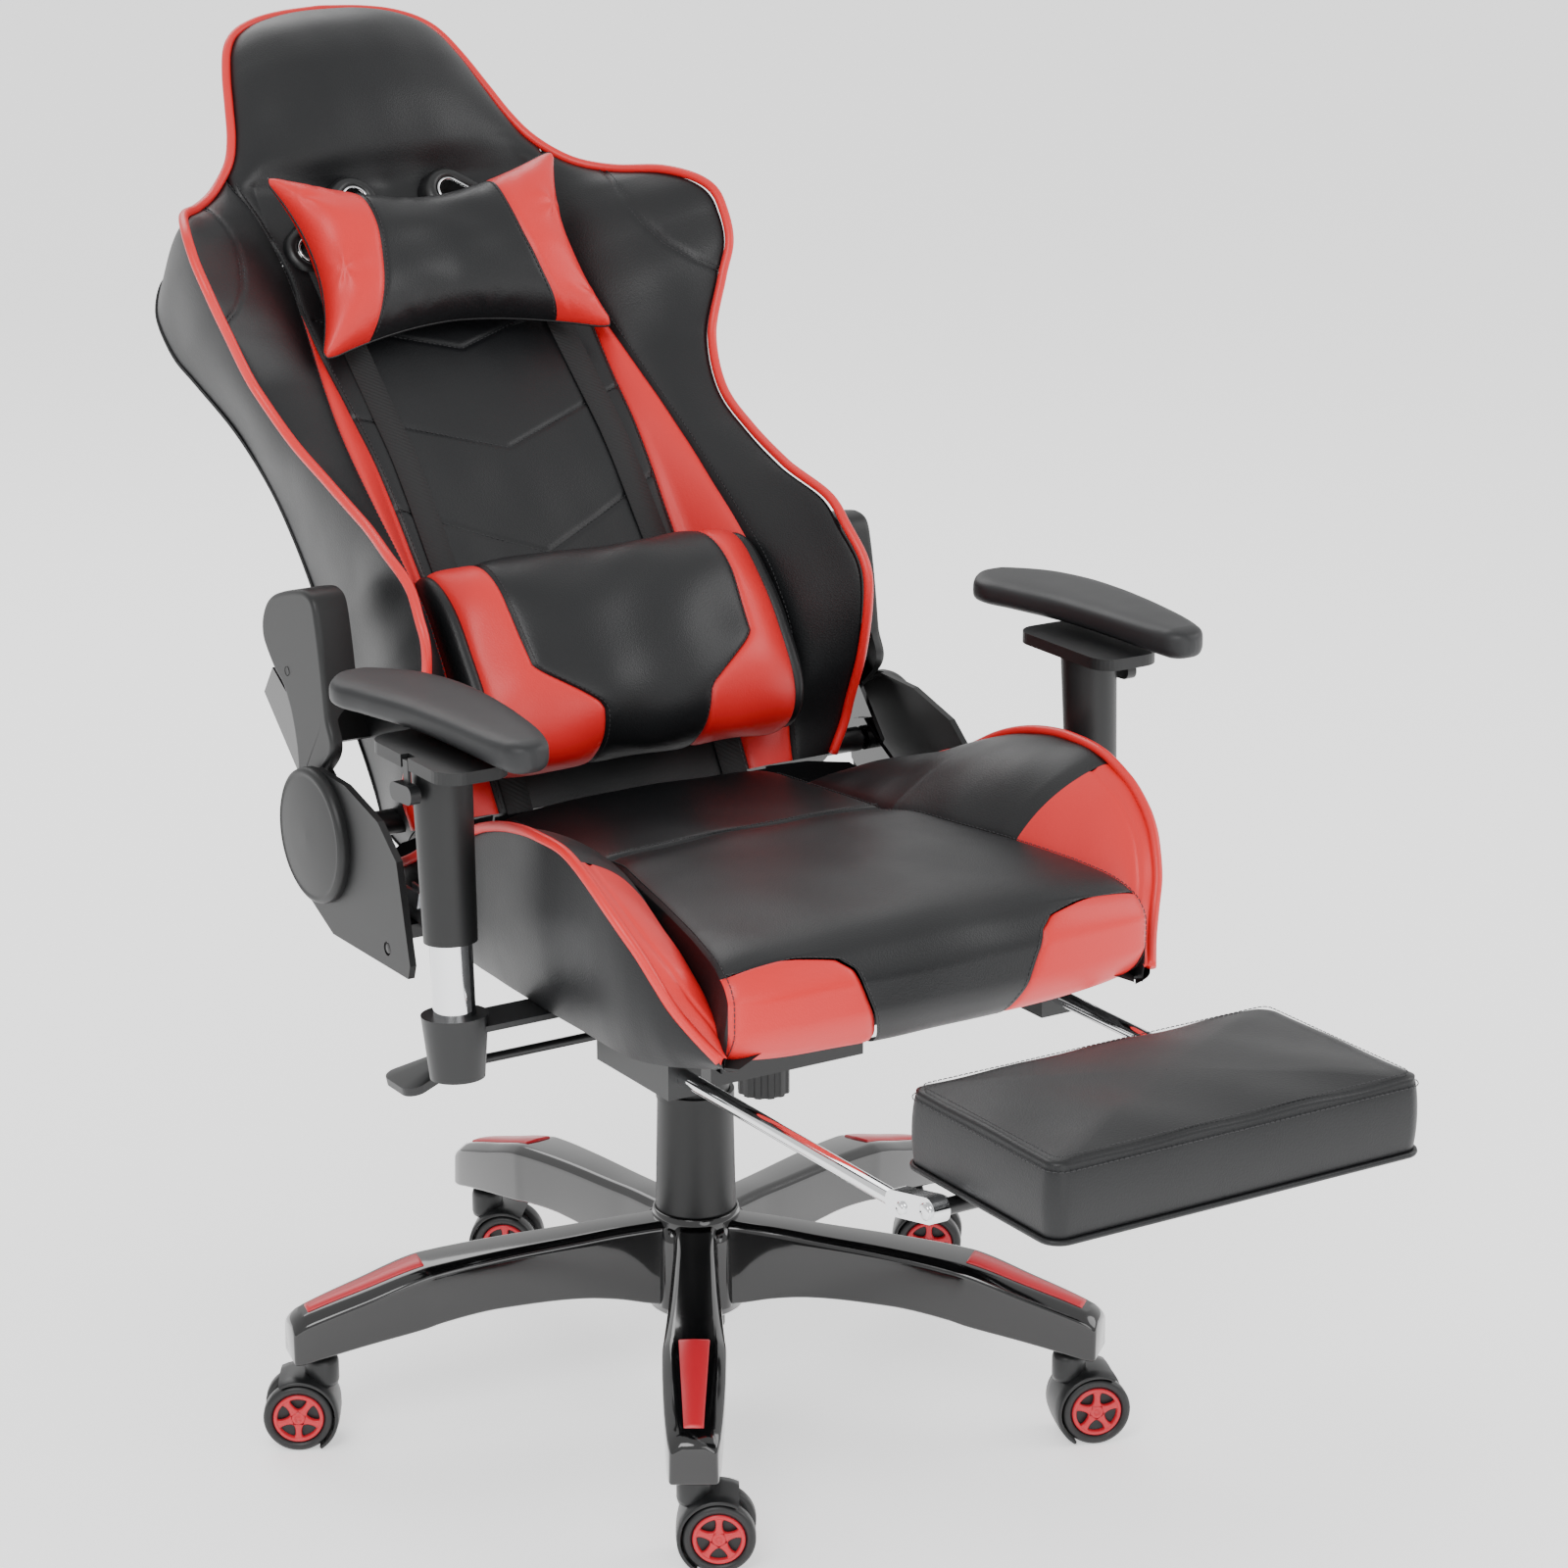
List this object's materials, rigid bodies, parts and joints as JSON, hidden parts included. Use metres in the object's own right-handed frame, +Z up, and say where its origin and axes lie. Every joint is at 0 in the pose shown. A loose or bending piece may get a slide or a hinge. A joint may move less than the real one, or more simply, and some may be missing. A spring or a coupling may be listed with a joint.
{
  "type": "gaming chair",
  "caption": "Racing-style swivel chair with bucket seat, reclining winged back, head and lumbar pillows, height-adjustable armrests and a slide-out folding footrest.",
  "frame": {"origin": "on the floor, on the axis of the gas lift", "axes": "+Z up, -Y the way the chair faces, +X the sitter's left"},
  "size_m": [0.7642, 1.4486, 1.1413],
  "materials": {
    "red_inlay": "smooth moulded plastic",
    "gloss_black": "polished moulded nylon",
    "chrome": "bright plating",
    "bare_steel": "zinc-plated steel",
    "black_metal": "satin powder coat",
    "red_leather": "soft-grained synthetic leather",
    "black_leather": "soft-grained synthetic leather",
    "caster_wheel": "nylon tread with a coloured rim",
    "soft_black": "soft-touch skinned foam",
    "black_plastic": "fine-textured moulding"
  },
  "bodies": {
    "base": {"base_star": "gloss_black", "base_inlays": "red_inlay", "stand_tube": "black_metal", "lower_sleeve": "black_plastic", "thrust_bearing": "bare_steel"},
    "sleeve_middle": {"middle_sleeve": "black_plastic"},
    "seat_column": {"pressure_tube": "black_metal", "upper_sleeve": "black_plastic", "tilt_housing": "black_metal", "tilt_spring": "bare_steel", "tilt_pivot_bolt": "bare_steel"},
    "tension_knob": {"tension_knob": "black_plastic"},
    "lift_lever": {"lift_lever": "black_metal", "lift_paddle": "black_plastic"},
    "seat": {"seat_plate": "black_metal", "seat_frame": "black_metal", "seat_cushion": "black_leather", "seat_bolster_right": "red_leather", "seat_bolster_left": "red_leather", "arm_brackets": "black_plastic", "arm_tubes": "chrome", "footrest_guides": "black_plastic", "seat_hinge_plates": "black_metal", "hinge_lower_covers": "black_plastic", "hinge_caps": "black_plastic"},
    "armrest_right": {"arm_post_right": "black_plastic", "arm_pad_right": "soft_black"},
    "armrest_left": {"arm_post_left": "black_plastic", "arm_pad_left": "soft_black"},
    "arm_button_right": {"arm_button_right": "black_plastic"},
    "arm_button_left": {"arm_button_left": "black_plastic"},
    "footrest_slide": {"footrest_rails": "chrome", "footrest_clevises": "chrome"},
    "footrest_flip": {"footrest_board": "black_plastic", "footrest_pad": "black_leather"},
    "back": {"back_hinge_plates": "black_metal", "hinge_upper_covers": "black_plastic", "back_frame": "black_metal", "back_cushion": "black_leather", "back_wing_right": "black_leather", "back_wing_left": "black_leather", "back_headrest": "black_leather", "back_rear_panel": "black_leather", "belt_bezels": "black_plastic", "head_pillow": "red_leather", "lumbar_pillow": "red_leather"},
    "recline_lever": {"recline_lever": "black_metal", "sync_rod": "bare_steel"},
    "lift_piston": {"piston_rod": "chrome"},
    "caster_1": {"caster_fork_1": "black_plastic"},
    "wheels_1": {"caster_wheels_1": "caster_wheel"},
    "caster_2": {"caster_fork_2": "black_plastic"},
    "wheels_2": {"caster_wheels_2": "caster_wheel"},
    "caster_3": {"caster_fork_3": "black_plastic"},
    "wheels_3": {"caster_wheels_3": "caster_wheel"},
    "caster_4": {"caster_fork_4": "black_plastic"},
    "wheels_4": {"caster_wheels_4": "caster_wheel"},
    "caster_5": {"caster_fork_5": "black_plastic"},
    "wheels_5": {"caster_wheels_5": "caster_wheel"}
  },
  "joints": [
    {"name": "seat_swivel", "type": "hinge", "parent": "base", "child": "lift_piston", "pos_m": [0, 0, 0.2], "axis": [0, 0, 1], "continuous": true},
    {"name": "seat_lift", "type": "slide", "parent": "lift_piston", "child": "seat_column", "axis": [0, 0, 1], "range_m": [0, 0.08]},
    {"name": "sleeve_follow", "type": "slide", "parent": "lift_piston", "child": "sleeve_middle", "axis": [0, 0, 1], "range_m": [0, 0.04]},
    {"name": "seat_tilt", "type": "hinge", "parent": "seat_column", "child": "seat", "pos_m": [0, -0.07, 0.42], "axis": [-1, 0, 0], "range_deg": [0, 12], "stiffness_Nm_per_rad": 300, "springref_deg": -11.46},
    {"name": "tension_knob_turn", "type": "hinge", "parent": "seat_column", "child": "tension_knob", "pos_m": [0, -0.112, 0.31], "axis": [0, 0, 1], "range_deg": [-720, 720]},
    {"name": "lift_lever_pull", "type": "hinge", "parent": "seat_column", "child": "lift_lever", "pos_m": [-0.073, -0.05, 0.37], "axis": [0, 1, 0], "range_deg": [0, 7], "stiffness_Nm_per_rad": 2},
    {"name": "recline", "type": "hinge", "parent": "seat", "child": "back", "pos_m": [0, 0.136, 0.523], "axis": [-1, 0, 0], "range_deg": [-26, 24]},
    {"name": "recline_lever_pull", "type": "hinge", "parent": "seat", "child": "recline_lever", "pos_m": [0, 0.136, 0.523], "axis": [-1, 0, 0], "range_deg": [0, 20], "stiffness_Nm_per_rad": 1},
    {"name": "armrest_right_height", "type": "slide", "parent": "seat", "child": "armrest_right", "axis": [0, 0.061, 0.9981], "range_m": [-0.06, 0.015]},
    {"name": "arm_button_right_press", "type": "slide", "parent": "armrest_right", "child": "arm_button_right", "axis": [1, 0, 0], "range_m": [0, 0.004], "stiffness_N_per_m": 400},
    {"name": "armrest_left_height", "type": "slide", "parent": "seat", "child": "armrest_left", "axis": [0, 0.061, 0.9981], "range_m": [-0.06, 0.015]},
    {"name": "arm_button_left_press", "type": "slide", "parent": "armrest_left", "child": "arm_button_left", "axis": [-1, 0, 0], "range_m": [0, 0.004], "stiffness_N_per_m": 400},
    {"name": "footrest_pull", "type": "slide", "parent": "seat", "child": "footrest_slide", "axis": [0, 1, 0], "range_m": [0, 0.165]},
    {"name": "footrest_flip", "type": "hinge", "parent": "footrest_slide", "child": "footrest_flip", "pos_m": [0, -0.63, 0.427], "axis": [-1, 0, 0], "range_deg": [0, 180]},
    {"name": "caster_1_swivel", "type": "hinge", "parent": "base", "child": "caster_1", "pos_m": [-0.17556, -0.28649, 0.08], "axis": [0, 0, 1], "continuous": true},
    {"name": "caster_1_roll", "type": "hinge", "parent": "caster_1", "child": "wheels_1", "pos_m": [-0.1586, -0.29708, 0.03], "axis": [0.5299, 0.848, 0], "continuous": true},
    {"name": "caster_2_swivel", "type": "hinge", "parent": "base", "child": "caster_2", "pos_m": [0.21821, -0.2555, 0.08], "axis": [0, 0, 1], "continuous": true},
    {"name": "caster_2_roll", "type": "hinge", "parent": "caster_2", "child": "wheels_2", "pos_m": [0.23676, -0.26299, 0.03], "axis": [0.3746, 0.9272, 0], "continuous": true},
    {"name": "caster_3_swivel", "type": "hinge", "parent": "base", "child": "caster_3", "pos_m": [0.31042, 0.12858, 0.08], "axis": [0, 0, 1], "continuous": true},
    {"name": "caster_3_roll", "type": "hinge", "parent": "caster_3", "child": "wheels_3", "pos_m": [0.3266, 0.11683, 0.03], "axis": [0.5878, 0.809, 0], "continuous": true},
    {"name": "caster_4_swivel", "type": "hinge", "parent": "base", "child": "caster_4", "pos_m": [-0.02636, 0.33496, 0.08], "axis": [0, 0, 1], "continuous": true},
    {"name": "caster_4_roll", "type": "hinge", "parent": "caster_4", "child": "wheels_4", "pos_m": [-0.01104, 0.32211, 0.03], "axis": [0.6428, 0.766, 0], "continuous": true},
    {"name": "caster_5_swivel", "type": "hinge", "parent": "base", "child": "caster_5", "pos_m": [-0.32672, 0.07844, 0.08], "axis": [0, 0, 1], "continuous": true},
    {"name": "caster_5_roll", "type": "hinge", "parent": "caster_5", "child": "wheels_5", "pos_m": [-0.34404, 0.08844, 0.03], "axis": [-0.5, -0.866, 0], "continuous": true}
  ],
  "couplings": [
    {"joint": "sleeve_follow", "follows": "seat_lift", "ratio": 0.5}
  ]
}
